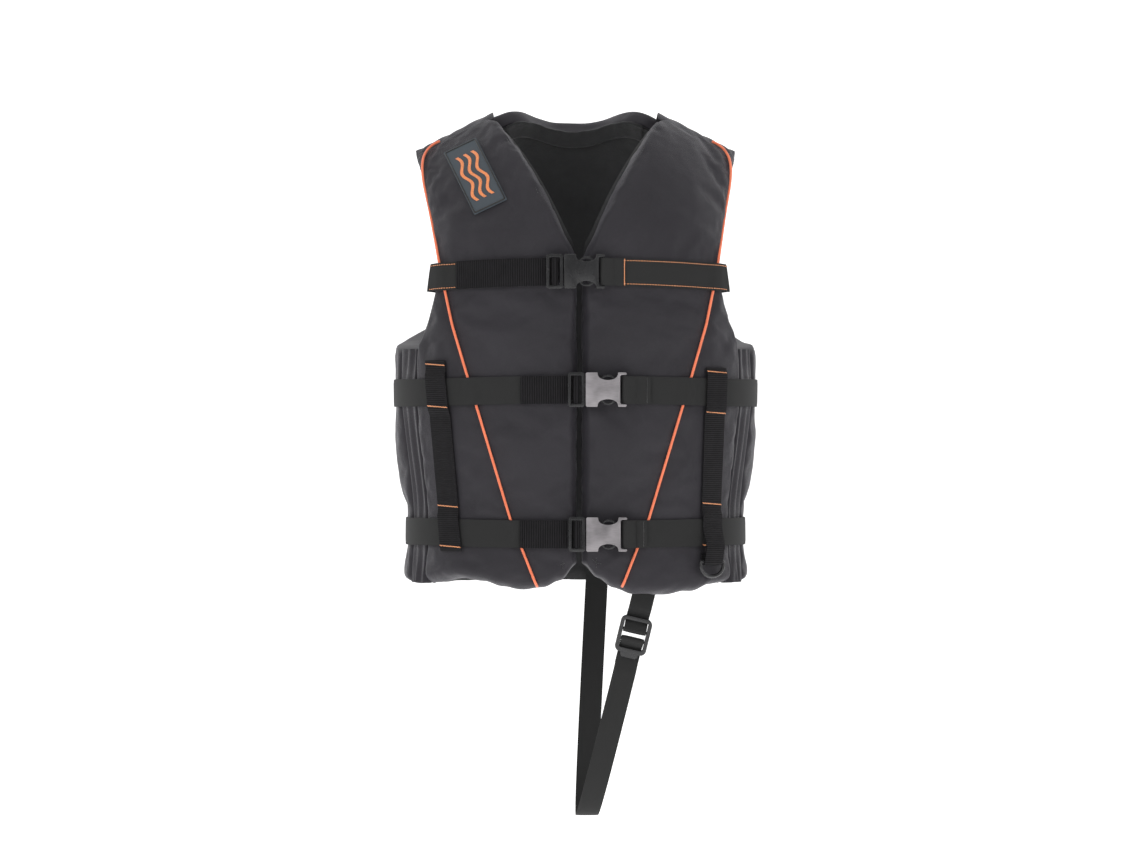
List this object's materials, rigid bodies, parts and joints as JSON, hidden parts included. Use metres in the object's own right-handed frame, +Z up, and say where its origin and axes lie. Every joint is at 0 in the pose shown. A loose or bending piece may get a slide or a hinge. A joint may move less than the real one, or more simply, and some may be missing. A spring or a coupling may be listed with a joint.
{
  "type": "buoyancy vest",
  "caption": "Sleeveless foam buoyancy vest, open at the front, closed by three webbing belts with side-release buckles, with a crotch strap and a D ring.",
  "frame": {"origin": "on the middle plane, halfway between the two shoulder seats", "axes": "+Z up towards the neck, the front faces -Y, +X is the wearer's left side"},
  "size_m": [0.4032, 0.3183, 0.7837],
  "materials": {
    "shell_cloth": "woven nylon, soft sheen",
    "lining_cloth": "plain woven lining, dull",
    "buoyant_foam": "closed-cell foam, dull",
    "belt_webbing": "ribbed webbing, dull",
    "buckle_plastic": "moulded acetal, semi-gloss",
    "piping_cord": "covered cord, satin",
    "patch_rubber": "moulded soft rubber, matt"
  },
  "bodies": {
    "vest": {"back_foam": "buoyant_foam", "back_lining": "lining_cloth", "back_shell": "shell_cloth", "bottom_belt": "belt_webbing", "bottom_buckle_socket": "buckle_plastic", "collar_facing": "lining_cloth", "crotch_strap": "belt_webbing", "crotch_tab": "belt_webbing", "front_left_foam": "buoyant_foam", "front_left_lining": "lining_cloth", "front_left_shell": "shell_cloth", "front_right_foam": "buoyant_foam", "front_right_lining": "lining_cloth", "front_right_shell": "shell_cloth", "middle_belt": "belt_webbing", "middle_buckle_socket": "buckle_plastic", "piping_left": "piping_cord", "piping_right": "piping_cord", "shoulder_patch": "patch_rubber", "shoulder_yoke_left": "shell_cloth", "shoulder_yoke_right": "shell_cloth", "side_gusset_left": "shell_cloth", "side_gusset_right": "shell_cloth", "top_belt_left": "belt_webbing", "top_belt_right": "belt_webbing", "top_buckle_socket": "buckle_plastic", "upright_webbing_left": "belt_webbing", "upright_webbing_right": "belt_webbing"},
    "top_male": {"top_buckle_male": "buckle_plastic", "top_belt_tail": "belt_webbing"},
    "top_prong_upper": {"top_buckle_prong_upper": "buckle_plastic"},
    "top_prong_lower": {"top_buckle_prong_lower": "buckle_plastic"},
    "middle_male": {"middle_buckle_male": "buckle_plastic", "middle_belt_tail": "belt_webbing"},
    "middle_prong_upper": {"middle_buckle_prong_upper": "buckle_plastic"},
    "middle_prong_lower": {"middle_buckle_prong_lower": "buckle_plastic"},
    "bottom_male": {"bottom_buckle_male": "buckle_plastic", "bottom_belt_tail": "belt_webbing"},
    "bottom_prong_upper": {"bottom_buckle_prong_upper": "buckle_plastic"},
    "bottom_prong_lower": {"bottom_buckle_prong_lower": "buckle_plastic"},
    "d_ring": {"d_ring": "buckle_plastic"},
    "ladder_lock": {"ladder_lock": "buckle_plastic", "crotch_strap_grip": "belt_webbing"}
  },
  "joints": [
    {"name": "top_buckle_slide", "type": "slide", "parent": "vest", "child": "top_male", "axis": [-1, 0, 0], "range_m": [0, 0.036], "deforming": ["top_buckle_prong_upper", "top_buckle_prong_lower"]},
    {"name": "top_prong_upper_bend", "type": "hinge", "parent": "top_male", "child": "top_prong_upper", "pos_m": [-0.0171, -0.1608, -0.1502], "axis": [0, 1, 0], "range_deg": [0, 8], "stiffness_Nm_per_rad": 0.1},
    {"name": "top_prong_lower_bend", "type": "hinge", "parent": "top_male", "child": "top_prong_lower", "pos_m": [-0.0171, -0.1608, -0.1658], "axis": [0, 1, 0], "range_deg": [-8, 0], "stiffness_Nm_per_rad": 0.1},
    {"name": "middle_buckle_slide", "type": "slide", "parent": "vest", "child": "middle_male", "axis": [-1, 0, 0], "range_m": [0, 0.036], "deforming": ["middle_buckle_prong_upper", "middle_buckle_prong_lower"]},
    {"name": "middle_prong_upper_bend", "type": "hinge", "parent": "middle_male", "child": "middle_prong_upper", "pos_m": [0.0064, -0.1598, -0.2782], "axis": [0, 1, 0], "range_deg": [0, 8], "stiffness_Nm_per_rad": 0.1},
    {"name": "middle_prong_lower_bend", "type": "hinge", "parent": "middle_male", "child": "middle_prong_lower", "pos_m": [0.0064, -0.1598, -0.2938], "axis": [0, 1, 0], "range_deg": [-8, 0], "stiffness_Nm_per_rad": 0.1},
    {"name": "bottom_buckle_slide", "type": "slide", "parent": "vest", "child": "bottom_male", "axis": [-1, 0, 0], "range_m": [0, 0.036], "deforming": ["bottom_buckle_prong_upper", "bottom_buckle_prong_lower", "bottom_belt_tail"]},
    {"name": "bottom_prong_upper_bend", "type": "hinge", "parent": "bottom_male", "child": "bottom_prong_upper", "pos_m": [0.0074, -0.14779, -0.4352], "axis": [0, 1, 0], "range_deg": [0, 8], "stiffness_Nm_per_rad": 0.1},
    {"name": "bottom_prong_lower_bend", "type": "hinge", "parent": "bottom_male", "child": "bottom_prong_lower", "pos_m": [0.0074, -0.14779, -0.4508], "axis": [0, 1, 0], "range_deg": [-8, 0], "stiffness_Nm_per_rad": 0.1},
    {"name": "d_ring_swing", "type": "hinge", "parent": "vest", "child": "d_ring", "pos_m": [0.14543, -0.1086, -0.4735], "axis": [-0.8078, -0.5894, 0], "range_deg": [0, 75]},
    {"name": "ladder_lock_tilt", "type": "hinge", "parent": "vest", "child": "ladder_lock", "pos_m": [0.06212, -0.08432, -0.54926], "axis": [-0.9732, -0.0342, 0.2275], "range_deg": [0, 25], "deforming": ["crotch_tab", "crotch_strap_grip"]}
  ],
  "couplings": [
    {"joint": "top_prong_lower_bend", "follows": "top_prong_upper_bend", "ratio": -1},
    {"joint": "middle_prong_lower_bend", "follows": "middle_prong_upper_bend", "ratio": -1},
    {"joint": "bottom_prong_lower_bend", "follows": "bottom_prong_upper_bend", "ratio": -1}
  ]
}
